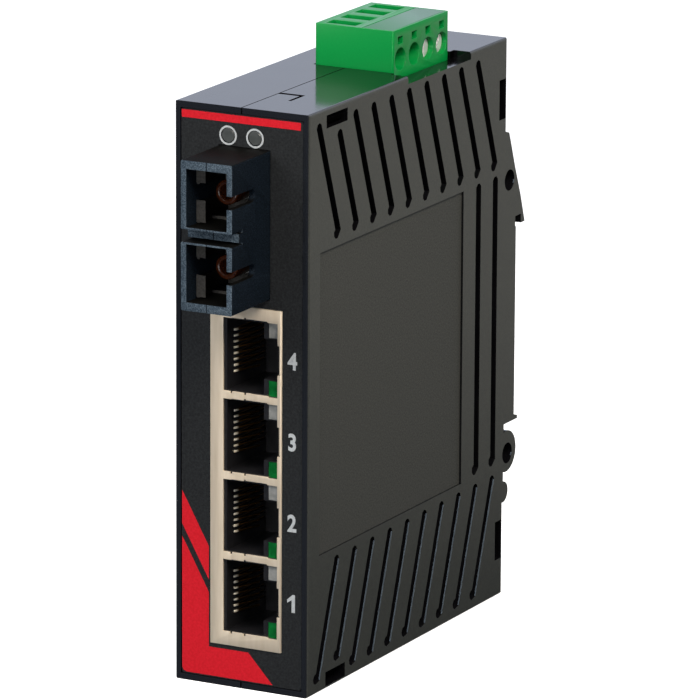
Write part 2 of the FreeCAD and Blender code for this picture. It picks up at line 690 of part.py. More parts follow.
def port_lamps():
    """Two small lamps in each port's right corners, clear above and green below."""
    front = s.shield_sheet + s.jack_gap * 2
    deep = s.port_led_deep
    left, right = s.port_main_right + s.jack_gap, s.port_right - s.jack_gap
    channel, half = s.bezel_half, s.port_high / 2 - 0.15
    for label, sense in (("clear_port_lamps", 1), ("green_port_lamps", -1)):
        members = []
        for number in range(1, 5):
            a = port_up(number) + (channel + 0.2) * sense
            b = port_up(number) + (half + 0.2) * sense
            low, high = (a, b) if sense > 0 else (b, a)
            members.append(solid_box(f"Lamp{label[0]}{number}", (left, front, low),
                                     (right, front + deep, high)))
        group(label, members)


# ---------------------------------------------------------------- fibre transceiver
def fibre_centre(number):
    middle = (s.fibre_low + s.fibre_high) / 2
    return middle + s.fibre_pitch * (number - 1.5)


def transceiver_housing():
    """A duplex SC receptacle block: two framed ports with a keyway, and a long closed body."""
    body = new_body("transceiver_housing")
    left, right, front = s.fibre_left, s.fibre_right, s.fibre_front
    middle = (s.fibre_low + s.fibre_high) / 2
    frame_back = front + s.fibre_rib_set
    end = front + s.fibre_depth
    pad(body, "XZ", frame_back, end, rectangle(left, s.fibre_low, right, s.fibre_high))
    split, groove = s.fibre_split, s.fibre_groove
    for low, high in ((s.fibre_low, middle - split), (middle + split, s.fibre_high)):
        pad(body, "XZ", front, frame_back, rectangle(left, low, right, high))
    for low, high in ((middle - split, middle - split + groove),
                      (middle + split - groove, middle + split)):
        pocket(body, "XZ", frame_back, frame_back + 1.2, rectangle(left, low, right, high))
    round_edges(body, 0.25, lambda e: (
        abs(e.tangentAt(e.FirstParameter).y) > 0.9 and any(near(v.Y, front) for v in e.Vertexes)))
    wall, half = s.fibre_wall, s.fibre_port_high / 2
    key = s.key_high / 2
    for number in (1, 2):
        centre = fibre_centre(number)
        pocket(body, "XZ", front, front + s.fibre_cavity, rectangle(
            left + wall, centre - half, right - wall, centre + half))
        # keyway in the right wall, open at the front, round at its inner end
        pocket(body, "YZ", right - wall, right, rectangle(
            front, centre - key, front + s.key_deep - key, centre + key))
        pocket(body, "YZ", right - wall, right, circle(
            front + s.key_deep - key, centre, key - 0.001))
        # sockets for the barrel and the latch insert in the inner wall
        inner = front + s.fibre_cavity
        pocket(body, "XZ", inner, inner + s.socket_deep, twelve_sided(
            (left + right) / 2, centre, s.barrel_radius))
    return body


def optical_barrels():
    """The amber sleeves that take the fibre ferrules."""
    body = new_body("optical_barrels")
    middle = (s.fibre_left + s.fibre_right) / 2
    front = s.fibre_front + s.barrel_set
    back = s.fibre_front + s.fibre_cavity + s.socket_deep
    body.AllowCompound = True
    for number in (1, 2):
        pad(body, "XZ", front, back, circle(middle, fibre_centre(number), s.barrel_radius))
    for number in (1, 2):
        pocket(body, "XZ", front, front + s.ferrule_deep, circle(
            middle, fibre_centre(number), s.ferrule_radius))
    return body


def transceiver_latches():
    """Grey inserts in each port: shelves above and below, cheeks at the left, a back plate."""
    members = []
    middle = (s.fibre_left + s.fibre_right) / 2
    front, gap = s.fibre_front, s.jack_gap
    back, half = front + s.fibre_cavity, s.fibre_port_high / 2 - gap
    left, right = s.fibre_left + s.fibre_wall + gap, s.fibre_right - s.fibre_wall - gap
    for number in (1, 2):
        centre = fibre_centre(number)
        parts = [solid_box("LatchPlate", (left, back - s.latch_plate, centre - half),
                           (right, back - gap, centre + half))]
        for low, high in ((-half, -half + s.latch_thick), (half - s.latch_thick, half)):
            parts.append(solid_box("LatchShelf", (left, front + s.latch_shelf, centre + low),
                                   (right, back - gap, centre + high)))
        for low, high in ((-half, -1.3), (1.7, half)):
            parts.append(solid_box("LatchCheek", (left, front + s.latch_set, centre + low),
                                   (left + s.latch_thick, back - gap, centre + high)))
        whole = doc.addObject("Part::MultiFuse", "LatchWhole")
        whole.Shapes = parts
        bore = doc.addObject("Part::Prism", "LatchBore")
        bore.Polygon = 12
        bind(bore, "Circumradius", (s.barrel_radius + 0.1) * (1 / math.cos(math.radians(15))))
        bind(bore, "Height", s.fibre_cavity)
        bind(bore, "Placement.Base.x", middle)
        bind(bore, "Placement.Base.y", back + 1.0)
        bind(bore, "Placement.Base.z", centre)
        bore.Placement.Rotation = Rotation(Vector(1, 0, 0), 90)
        cut = doc.addObject("Part::Cut", "LatchInsert")
        cut.Base, cut.Tool = whole, bore
        members.append(cut)
    group("transceiver_latches", members)


def transceiver_pins():
    """The row of nine leads behind the transceiver, soldered through the board."""
    members = []
    for i in range(9):
        up = lead_up(i) - s.lead_side / 2
        members.append(solid_box(
            f"Lead{i + 1}", (s.board_face - s.board_thick - s.solder_length, lead_back, up),
            (s.fibre_left, lead_back + s.lead_side, up + s.lead_side)))
    group("transceiver_leads", members)


def status_lamps():
    """Two round lamps in the front wall, each with a bevelled face."""
    for label, number in (("status_lamp_left", 0), ("status_lamp_right", 1)):
        body = new_body(label)
        across = s.status_left + s.status_pitch * number
        pad(body, "XZ", s.status_face, s.status_length, circle(
            across, s.status_up, s.status_radius))
        round_edges(body, 0.2, lambda e: (
            near(e.CenterOfMass.y, s.status_face) and len(e.Vertexes) == 1), "Chamfer")


# ---------------------------------------------------------------- pluggable screw terminal
pin_middle = -0.8
bar_left = -4.0
chamber = SimpleNamespace(left=-4.9, right=2.4, half=2.12, low=s.plug_step + 0.8, high=105.2)
frame_size = SimpleNamespace(left=-4.85, right=2.3, half=2.05, low=98.7, high=104.7, side=0.4)


def power_header():
    """The board half of the connector: a shroud open at the top, with four pin places."""
    body = new_body("power_header")
    gap, wall = s.header_gap, s.header_wall
    inset = s.tongue_inset
    front, back = s.plug_front + inset - gap, s.plug_front + s.plug_length - inset + gap
    left, right = s.tongue_left - gap, s.tongue_right + gap
    pad(body, "XY", s.header_low, s.header_high, rectangle(
        s.board_face + 0.02, front - wall, right + wall, back + wall))
    pocket(body, "XY", s.header_low + s.header_floor, s.header_high, rectangle(
        left, front, right, back))
    side = s.pin_side / 2 + 0.02
    for number in range(1, 5):
        pocket(body, "XY", s.header_low, s.header_low + s.header_floor, rectangle(
            pin_middle - side, pole_back(number) - side, pin_middle + side, pole_back(number) + side))
    return body


def header_pins():
    """Square pins that stand in the shroud and turn at right angles through the board."""
    members = []
    half = s.pin_side / 2
    tail = s.header_low - s.pin_drop
    end = s.board_face - s.board_thick - s.solder_length
    point, tip = s.pin_point, s.header_high - 0.9
    shoulder = tip - 0.5
    for number in range(1, 5):
        sketch = doc.addObject("Sketcher::SketchObject", f"PinPath{number}")
        sketch.Placement = Placement(Vector(0, 0, 0), Rotation(Vector(1, 0, 0), 90))
        bind(sketch, "Placement.Base.y", pole_back(number) + half)
        draw_outline(sketch, [
            (end, tail), (pin_middle + half, tail), (pin_middle + half, shoulder),
            (pin_middle + half - point, tip), (pin_middle - half + point, tip),
            (pin_middle - half, shoulder), (pin_middle - half, tail + s.pin_side),
            (end, tail + s.pin_side)])
        pin = doc.addObject("Part::Extrusion", f"HeaderPin{number}")
        pin.Base = sketch
        pin.DirMode = "Custom"
        pin.Dir = Vector(0, -1, 0)
        pin.Solid = True
        bind(pin, "LengthFwd", s.pin_side)
        members.append(pin)
    group("header_pins", members)


def plug_body():
    """The green plug: wire entries above, screw wells at the side, a tongue into the header."""
    body = new_body("plug_body")
    front, back = s.plug_front, s.plug_front + s.plug_length
    pad(body, "XY", s.plug_step, s.plug_top, rectangle(s.plug_left, front, s.plug_right, back))
    pad(body, "XY", s.plug_low, s.plug_step, rectangle(
        s.tongue_left, front + s.tongue_inset, s.tongue_right, back - s.tongue_inset))
    round_edges(body, 0.3, lambda e: (
        near(e.Length, s.plug_top - s.plug_step) and abs(e.tangentAt(e.FirstParameter).z) > 0.9))
    first = pole_back(1)
    for plane, start, stop, drawing in (
        ("XY", chamber.high, s.plug_top, rectangle(
            -4.4, first - s.entry_wide / 2, 1.25, first + s.entry_wide / 2)),
        ("XY", chamber.low, chamber.high, rectangle(
            chamber.left, first - chamber.half, chamber.right, first + chamber.half)),
        ("XY", s.plug_low, chamber.low, rectangle(-2.35, first - 1.35, 0.75, first + 1.35)),
        ("XY", s.header_high - 2.2, chamber.low, rectangle(
            bar_left - 0.1, first - 1.35, -2.35, first + 1.35)),
        ("YZ", s.well_floor, s.plug_right, circle(first, s.well_up, s.well_radius)),
        ("YZ", chamber.right, s.well_floor, twelve_sided(
            first, s.well_up, s.screw_radius + 0.2)),
        ("YZ", s.plug_right - 1.5, s.plug_right, rectangle(
            first - 0.9, s.well_up + 2.6, first + 0.9, s.well_up + 3.9)),
    ):
        cut = pocket(body, plane, start, stop, drawing)
        repeat(body, cut, "Y", s.pole_pitch, 4)
    pocket(body, "XY", s.plug_top - s.cap_thick, s.plug_top, rectangle(
        s.cap_left, front + s.cap_inset, s.cap_right, back - s.cap_inset))
    return body


def plug_cap():
    """The smooth strip let into the plug's top over the screw wells."""
    body = new_body("plug_cap")
    gap = s.cap_gap
    front, back = s.plug_front + s.cap_inset, s.plug_front + s.plug_length - s.cap_inset
    pad(body, "XY", s.plug_top - s.cap_thick + gap, s.plug_top, rectangle(
        s.cap_left + gap, front + gap, s.cap_right - gap, back - gap))
    round_edges(body, 0.15, lambda e: (
        all(near(v.Z, s.plug_top) for v in e.Vertexes) and e.Length > 10), "Chamfer")
    return body


def clamp_frame(number):
    """A steel box open above and below, its right wall bored for the screw."""
    body = new_body(f"clamp_frame_{number}")
    f, middle = frame_size, pole_back(number)
    pad(body, "XY", f.low, f.high, rectangle(f.left, middle - f.half, f.right, middle + f.half))
    pocket(body, "XY", f.low, f.high, rectangle(
        f.left + 0.7, middle - f.half + f.side, f.right - 1.0, middle + f.half - f.side))
    pocket(body, "YZ", f.right - 1.0, f.right, twelve_sided(
        middle, s.well_up, s.screw_radius + s.thread_clearance))
    return body


def plug_contact(number):
    """The current bar against which the wire is clamped, drawn down into a two-legged fork."""
    body = new_body(f"plug_contact_{number}")
    middle = pole_back(number)
    gap = s.pin_side / 2 + s.pin_clearance
    leg, thick, half = 0.55, 0.8, 1.2
    low, shoulder = s.plug_low + 1.1, s.header_high - 2.0
    crotch = s.header_high - 0.6
    inner_left, inner_right = pin_middle - gap, pin_middle + gap
    pad(body, "XZ", middle - half, middle + half, outline([
        (bar_left, 104.6), (bar_left, shoulder), (inner_left - leg, shoulder),
        (inner_left - leg, low), (inner_left - 0.15, low), (inner_left, low + 0.6),
        (inner_left, crotch), (inner_right, crotch), (inner_right, low + 0.6),
        (inner_right + 0.15, low), (inner_right + leg, low), (inner_right + leg, crotch + 0.9),
        (bar_left + thick, crotch + 0.9), (bar_left + thick, 104.6)]))
    return body


def clamp_plate(number, out):
    """The leaf that the screw presses on the wire, turned up at its upper and lower ends."""
    body = new_body(f"clamp_plate_{number}")
    tip = s.well_floor + 0.1 - s.screw_length + out
    half, thick, lip = 1.4, 0.5, 0.5
    middle = pole_back(number)
    pad(body, "XZ", middle - half, middle + half, outline([
        (tip - thick, s.well_up - 2.0), (tip - thick, s.well_up + 2.0), (tip + lip, s.well_up + 2.4),
        (tip + lip, s.well_up + 1.9), (tip, s.well_up + 1.5), (tip, s.well_up - 1.5),
        (tip + lip, s.well_up - 1.9), (tip + lip, s.well_up - 2.4)]))
    return body


def terminal_screw(number, out, slot_turn):
    """A slotted cheese-head screw lying along x, its tip on the clamp plate."""
    head_back = s.well_floor + 0.1 + out
    head_front = head_back + s.screw_head
    middle = pole_back(number)
    body = new_body(f"terminal_screw_{number}")
    pad(body, "YZ", head_back - s.screw_length, head_back, twelve_sided(
        middle, s.well_up, s.screw_radius * math.cos(math.radians(15))))
    pad(body, "YZ", head_back, head_front, circle(middle, s.well_up, s.screw_head_radius))
    # the slot is cut by a sketch turned about the screw's own axis
    sketch = sketch_on(body, "YZ", head_front - 0.9)
    width, reach = s.screw_slot.value / 2, s.screw_head_radius.value + 0.2
    corners = [(-reach, -width), (reach, -width), (reach, width), (-reach, width)]
    for i in range(4):
        sketch.addGeometry(Part.LineSegment(
            Vector(*corners[i], 0), Vector(*corners[(i + 1) % 4], 0)), False)
        sketch.addConstraint(Sketcher.Constraint("Block", i))
    bind(sketch, "AttachmentOffset.Base.x", middle)
    bind(sketch, "AttachmentOffset.Base.y", s.well_up)
    sketch.AttachmentOffset = Placement(
        sketch.AttachmentOffset.Base, Rotation(Vector(0, 0, 1), slot_turn))
    slot = body.newObject("PartDesign::Pocket", "Slot")
    slot.Profile = sketch
    slot.Type = "Length"
    slot.Length = 1.0
    slot.Reversed = True
    return body


def pluggable_terminal():
    power_header()
    header_pins()
    plug_body()
    plug_cap()
    # poles 1 and 2 are screwed home, poles 3 and 4 stand open
    for number, out, slot_turn in ((1, 0, 35), (2, 0, 110), (3, 1, 88), (4, 1, 62)):
        clamp_frame(number)
        plug_contact(number)
        clamp_plate(number, s.screw_travel * out)
        terminal_screw(number, s.screw_travel * out, slot_turn)


housing_right()
housing_left()
front_label()
main_board()
board_parts()
jack_shield()
jack_body()
port_contacts()
port_lamps()
transceiver_housing()
optical_barrels()
transceiver_latches()
transceiver_pins()
status_lamps()
pluggable_terminal()

# ---------------------------------------------------------------- checks and export
def check_and_export():
    doc.recompute()
    for thing in doc.Objects:
        faults = [state for state in thing.State if state in ("Invalid", "Error")]
        if faults:
            raise SystemExit(f"{thing.Label} ({thing.TypeId}): {faults}")
    for body in (thing for thing in doc.Objects if thing.TypeId == "PartDesign::Body"):
        volume = 0.0
        for step in body.Group:
            if not step.isDerivedFrom("PartDesign::Feature"):
                continue
            if abs(step.Shape.Volume - volume) < 1e-4:
                raise SystemExit(f"{body.Label}: {step.Name} changes nothing")
            volume = step.Shape.Volume
    for thing in sub_parts:
        shape = thing.Shape
        if shape.isNull() or not shape.isValid() or not shape.Solids:
            raise SystemExit(f"{thing.Label}: no valid solid")
        shape.exportStep(f"parts/{thing.Label}.step")


check_and_export()
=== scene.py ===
import json
import math

import bmesh
import bpy
from mathutils import Matrix, Vector

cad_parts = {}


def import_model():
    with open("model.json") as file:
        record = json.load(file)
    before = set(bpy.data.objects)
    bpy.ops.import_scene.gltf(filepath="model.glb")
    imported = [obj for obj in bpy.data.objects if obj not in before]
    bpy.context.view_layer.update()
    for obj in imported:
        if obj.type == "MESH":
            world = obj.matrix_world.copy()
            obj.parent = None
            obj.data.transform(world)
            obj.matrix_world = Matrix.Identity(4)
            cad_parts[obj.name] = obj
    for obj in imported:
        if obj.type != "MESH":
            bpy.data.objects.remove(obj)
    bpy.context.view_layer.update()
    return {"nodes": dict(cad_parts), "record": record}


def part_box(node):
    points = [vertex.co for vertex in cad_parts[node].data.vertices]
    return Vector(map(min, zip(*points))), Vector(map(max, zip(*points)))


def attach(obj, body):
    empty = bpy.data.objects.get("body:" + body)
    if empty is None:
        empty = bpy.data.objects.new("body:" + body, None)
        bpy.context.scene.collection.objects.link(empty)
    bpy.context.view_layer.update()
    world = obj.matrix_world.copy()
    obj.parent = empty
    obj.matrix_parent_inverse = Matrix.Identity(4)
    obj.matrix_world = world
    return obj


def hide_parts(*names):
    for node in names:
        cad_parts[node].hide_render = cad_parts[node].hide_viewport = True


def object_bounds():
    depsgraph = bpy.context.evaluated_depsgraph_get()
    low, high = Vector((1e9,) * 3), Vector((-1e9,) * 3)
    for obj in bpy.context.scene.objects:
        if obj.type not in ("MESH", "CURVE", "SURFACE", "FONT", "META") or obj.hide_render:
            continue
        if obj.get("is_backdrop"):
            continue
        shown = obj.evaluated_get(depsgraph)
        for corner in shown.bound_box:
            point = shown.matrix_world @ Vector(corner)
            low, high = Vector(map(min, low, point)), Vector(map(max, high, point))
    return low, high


# A DIN-rail ethernet switch. The moulded case, ports, fibre transceiver and pluggable terminal
# come from the frame. This script rounds their edges, gives every piece its finish, and adds the
# printing on the front label and the small trim inside the ports.

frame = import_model()
nodes = frame["nodes"]

MM = 0.001
INK = 0.03 * MM
PORTS = range(1, 5)
POLES = range(1, 5)

# The band that most of a noise's values lie in.
BAND = (0.3, 0.7)

# The sockets of a mix node: its factor, its two numbers, its two colours and the mixed colour.
FACTOR, NUMBER_A, NUMBER_B, COLOUR_A, COLOUR_B, MIXED_COLOUR = 0, 2, 3, 6, 7, 2


# ---------------------------------------------------------------- small helpers
def linear(hex_colour):
    """An sRGB hex colour as linear RGBA."""
    parts = [int(hex_colour[i:i + 2], 16) / 255 for i in (1, 3, 5)]
    return [c / 12.92 if c <= 0.04045 else ((c + 0.055) / 1.055) ** 2.4 for c in parts] + [1.0]


def per(size_mm):
    """The scale of a pattern on Object coordinates whose features are size_mm across."""
    return 1 / (size_mm * MM)


def add(tree, kind, inputs=None, out=0, **fields):
    """Add a node and return one of its outputs. An input takes a value or another's output."""
    node = tree.nodes.new(kind)
    for field, value in fields.items():
        setattr(node, field, value)
    for key, value in (inputs or {}).items():
        if isinstance(value, bpy.types.NodeSocket):
            tree.links.new(value, node.inputs[key])
        else:
            node.inputs[key].default_value = value
    return node.outputs[out]


def start_material(name):
    """A new material with its surface shader, and its Object coordinates."""
    made = bpy.data.materials.new(name)
    made.use_nodes = True
    tree = made.node_tree
    shader = tree.nodes["Principled BSDF"]
    place = add(tree, "ShaderNodeTexCoord", out="Object")
    return made, tree, shader, place


def set_shader(tree, shader, **inputs):
    """Give the shader's inputs, named with underscores, a value or another node's output."""
    for name, value in inputs.items():
        socket = shader.inputs[name.replace("_", " ")]
        if isinstance(value, bpy.types.NodeSocket):
            tree.links.new(value, socket)
        else:
            socket.default_value = value


def two_tones(tree, pattern, dark, pale, band=BAND):
    """The colour that runs from one hex tone to another over a band of a pattern's values."""
    share = add(tree, "ShaderNodeMapRange", {
        "Value": pattern, "From Min": band[0], "From Max": band[1]})
    return add(tree, "ShaderNodeMix", {
        FACTOR: share, COLOUR_A: linear(dark), COLOUR_B: linear(pale)},
        MIXED_COLOUR, data_type="RGBA")


# ---------------------------------------------------------------- materials
def case_plastic():
    """Polycarbonate-ABS, moulded black: spark-eroded matt sides, polished front and top.

    The outer sides scatter light and look dark grey, and the sunk middle panel is coarser and more
    speckled. The polished faces mirror the room, and the seam and what lies inside the walls are
    painted near black with no gloss, as painted shade.
    The pits of the erosion are finer than this and are drawn as coarse as they need to show.
    """
    made, tree, shader, place = start_material("moulded_polycarbonate_abs")
    low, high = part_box("housing_right")
    grain = add(tree, "ShaderNodeTexNoise", {
        "Vector": place, "Scale": per(0.3), "Detail": 4.0, "Roughness": 0.75}, "Fac")
    cloud = add(tree, "ShaderNodeTexNoise", {
        "Vector": place, "Scale": per(9), "Detail": 2.0}, "Fac")
    across = add(tree, "ShaderNodeSeparateXYZ", {"Vector": place}, "X")
    out = add(tree, "ShaderNodeMath", {0: across}, operation="ABSOLUTE")
    normal = add(tree, "ShaderNodeNewGeometry", out="True Normal")
    facing_x = add(tree, "ShaderNodeSeparateXYZ", {"Vector": normal}, "X")
    facing_y = add(tree, "ShaderNodeSeparateXYZ", {"Vector": normal}, "Y")
    facing_z = add(tree, "ShaderNodeSeparateXYZ", {"Vector": normal}, "Z")
    steep = add(tree, "ShaderNodeMath", {0: facing_x}, operation="ABSOLUTE")
    sideways = add(tree, "ShaderNodeMapRange", {
        "Value": steep, "From Min": 0.55, "From Max": 0.75})

    # The side's own faces: the raised rim in one tone, the panel sunk below it in another.
    near_side = add(tree, "ShaderNodeMapRange", {
        "Value": out, "From Min": high.x - 0.55 * MM, "From Max": high.x - 0.5 * MM})
    is_side = add(tree, "ShaderNodeMath", {0: sideways, 1: near_side}, operation="MULTIPLY")
    raised = add(tree, "ShaderNodeMapRange", {
        "Value": out, "From Min": high.x - 0.3 * MM, "From Max": high.x - 0.2 * MM})
    rim = two_tones(tree, grain, "#30322f", "#484a44")
    panel = two_tones(tree, grain, "#292b28", "#4b4c46", (0.36, 0.64))
    matt = add(tree, "ShaderNodeMix", {
        FACTOR: raised, COLOUR_A: panel, COLOUR_B: rim}, MIXED_COLOUR, data_type="RGBA")

    # The polished faces: the frame round the label is painted a shade paler than the top,
    # as painted light on the faces turned to the front.
    forward = add(tree, "ShaderNodeMapRange", {
        "Value": facing_y, "From Min": -0.5, "From Max": -0.7})
    along = add(tree, "ShaderNodeSeparateXYZ", {"Vector": place}, "Y")
    near_front = add(tree, "ShaderNodeMapRange", {
        "Value": along, "From Min": low.y + 1.0 * MM, "From Max": low.y + 0.8 * MM})
    front_frame_painted_light = add(tree, "ShaderNodeMath", {0: forward, 1: near_front}, operation="MULTIPLY")
    polished = add(tree, "ShaderNodeMix", {
        FACTOR: front_frame_painted_light, COLOUR_A: two_tones(tree, cloud, "#0a0a0c", "#101013"),
        COLOUR_B: linear("#1d1f23")}, MIXED_COLOUR, data_type="RGBA")

    # The lips of the slots, which face forward and a little up, are painted pale blue-grey as a
    # painted highlight.
    not_level = add(tree, "ShaderNodeMapRange", {
        "Value": facing_z, "From Min": 0.1, "From Max": 0.2})
    not_steep = add(tree, "ShaderNodeMapRange", {
        "Value": facing_z, "From Min": 0.5, "From Max": 0.42})
    tilted = add(tree, "ShaderNodeMath", {0: not_level, 1: not_steep}, operation="MULTIPLY")
    turned = add(tree, "ShaderNodeMath", {0: forward, 1: tilted}, operation="MULTIPLY")
    outermost = add(tree, "ShaderNodeMapRange", {
        "Value": out, "From Min": high.x - 0.28 * MM, "From Max": high.x - 0.2 * MM})
    lip_painted_highlight = add(tree, "ShaderNodeMath", {0: turned, 1: outermost}, operation="MULTIPLY")
    shell = add(tree, "ShaderNodeMix", {
        FACTOR: lip_painted_highlight, COLOUR_A: polished, COLOUR_B: linear("#59646f")},
        MIXED_COLOUR, data_type="RGBA")

    # The seam between the halves and the inner walls are painted near black and lose their gloss,
    # as painted shade.
    seam = add(tree, "ShaderNodeMapRange", {
        "Value": out, "From Min": 0.14 * MM, "From Max": 0.1 * MM})
    painted_shade = add(tree, "ShaderNodeMath", {0: sideways, 1: seam}, operation="MAXIMUM")
    inside = add(tree, "ShaderNodeMix", {
        FACTOR: painted_shade, COLOUR_A: shell, COLOUR_B: linear("#040404")},
        MIXED_COLOUR, data_type="RGBA")
    colour = add(tree, "ShaderNodeMix", {
        FACTOR: is_side, COLOUR_A: inside, COLOUR_B: matt}, MIXED_COLOUR, data_type="RGBA")
    painted_shade_not_side = add(tree, "ShaderNodeMath", {0: painted_shade, 1: is_side}, operation="SUBTRACT")
    gloss = add(tree, "ShaderNodeMapRange", {"Value": painted_shade_not_side, "To Min": 0.5, "To Max": 0.0})

    smear = add(tree, "ShaderNodeMapRange", {
        "Value": cloud, "From Min": BAND[0], "From Max": BAND[1], "To Min": 0.08, "To Max": 0.14})
    eroded = add(tree, "ShaderNodeMapRange", {"Value": raised, "To Min": 0.66, "To Max": 0.42})
    rough = add(tree, "ShaderNodeMix", {
        FACTOR: sideways, NUMBER_A: smear, NUMBER_B: eroded}, data_type="FLOAT")
    pitted = add(tree, "ShaderNodeMapRange", {"Value": is_side, "To Min": 0.0, "To Max": 0.4})
    bump = add(tree, "ShaderNodeBump", {
        "Height": grain, "Strength": pitted, "Distance": 0.05 * MM}, "Normal")
    set_shader(
        tree, shader, Base_Color=colour, Roughness=rough, Specular_IOR_Level=gloss, IOR=1.55,
        Normal=bump)
    return made


def label_film():
    """Polyester film printed black from behind, with a fine matt emboss that breaks up gloss."""
    made, tree, shader, place = start_material("embossed_polyester_film")
    emboss = add(tree, "ShaderNodeTexNoise", {
        "Vector": place, "Scale": per(0.4), "Detail": 2.0, "Roughness": 0.7}, "Fac")
    bump = add(tree, "ShaderNodeBump", {
        "Height": emboss, "Strength": 0.3, "Distance": 0.03 * MM}, "Normal")
    set_shader(
        tree, shader, Base_Color=two_tones(tree, emboss, "#161718", "#2a2c2d", (0.35, 0.72)),
        Normal=bump, Roughness=0.5, IOR=1.5, Specular_IOR_Level=0.3)
    return made


def printed_ink(name, dark, pale):
    """Screen-printed ink: flat and dense, with the emboss of the film showing faintly."""
    made, tree, shader, place = start_material(name)
    emboss = add(tree, "ShaderNodeTexNoise", {
        "Vector": place, "Scale": per(0.4), "Detail": 2.0}, "Fac")
    set_shader(
        tree, shader, Base_Color=two_tones(tree, emboss, dark, pale, (0.35, 0.7)),
        Roughness=0.5, IOR=1.5, Specular_IOR_Level=0.3)
    return made


def plated_bronze():
    """Tin-plated phosphor bronze, pressed: a soft warm sheen with faint streaks from rolling."""
    made, tree, shader, place = start_material("tin_plated_bronze")
    stretched = add(tree, "ShaderNodeMapping", {"Vector": place, "Scale": (1.0, 1.0, 0.12)})
    streak = add(tree, "ShaderNodeTexNoise", {
        "Vector": stretched, "Scale": per(0.7), "Detail": 3.0}, "Fac")
    rough = add(tree, "ShaderNodeMapRange", {
        "Value": streak, "From Min": BAND[0], "From Max": BAND[1], "To Min": 0.36, "To Max": 0.48})
    set_shader(
        tree, shader, Base_Color=two_tones(tree, streak, "#e4d3b8", "#ecdcc4"), Roughness=rough,
        Metallic=0.3)
    return made


def sprung_bronze():
    """Phosphor bronze spring, gold plated at the nose, which is painted near white as a painted
    highlight; the bare bronze behind it is darker.
    """
    made, tree, shader, place = start_material("gold_plated_bronze_painted_highlight")
    grain = add(tree, "ShaderNodeTexNoise", {
        "Vector": place, "Scale": per(0.3), "Detail": 3.0}, "Fac")
    along = add(tree, "ShaderNodeSeparateXYZ", {"Vector": place}, "Y")
    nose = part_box("port_1_contacts")[0].y
    plating_and_painted_highlight = add(tree, "ShaderNodeMapRange", {
        "Value": along, "From Min": nose + 1.0 * MM, "From Max": nose + 0.45 * MM})
    # The nose is painted near white and less metallic, as a painted highlight on the gold plating.
    colour = add(tree, "ShaderNodeMix", {
        FACTOR: plating_and_painted_highlight, COLOUR_A: linear("#8a6a3c"),
        COLOUR_B: two_tones(tree, grain, "#fff0d0", "#fff8e6")}, MIXED_COLOUR, data_type="RGBA")
    metallic = add(tree, "ShaderNodeMapRange", {"Value": plating_and_painted_highlight, "To Min": 1.0, "To Max": 0.35})
    set_shader(tree, shader, Base_Color=colour, Metallic=metallic, Roughness=0.3)
    return made


def metal(name, dark, pale, rough, grain_mm, metallic=1.0):
    """A plated metal whose tone and gloss vary a little over the plating's grain."""
    made, tree, shader, place = start_material(name)
    grain = add(tree, "ShaderNodeTexNoise", {
        "Vector": place, "Scale": per(grain_mm), "Detail": 3.0}, "Fac")
    varied = add(tree, "ShaderNodeMapRange", {
        "Value": grain, "From Min": BAND[0], "From Max": BAND[1],
        "To Min": rough, "To Max": rough + 0.12})
    set_shader(
        tree, shader, Base_Color=two_tones(tree, grain, dark, pale), Roughness=varied,
        Metallic=metallic)
    return made


def moulded(name, dark, pale, rough, grain_mm, depth_mm=0.01, ior=1.5, level=0.5):
    """A moulded plastic: two close tones over its grain, and a skin texture if it has a depth."""
    made, tree, shader, place = start_material(name)
    grain = add(tree, "ShaderNodeTexNoise", {
        "Vector": place, "Scale": per(grain_mm), "Detail": 3.0, "Roughness": 0.6}, "Fac")
    varied = add(tree, "ShaderNodeMapRange", {
        "Value": grain, "From Min": BAND[0], "From Max": BAND[1],
        "To Min": rough - 0.02, "To Max": rough + 0.02})
    if depth_mm:
        bump = add(tree, "ShaderNodeBump", {
            "Height": grain, "Strength": 0.25, "Distance": depth_mm * MM}, "Normal")
        set_shader(tree, shader, Normal=bump)
    set_shader(
        tree, shader, Base_Color=two_tones(tree, grain, dark, pale), Roughness=varied, IOR=ior,
        Specular_IOR_Level=level)
    return made


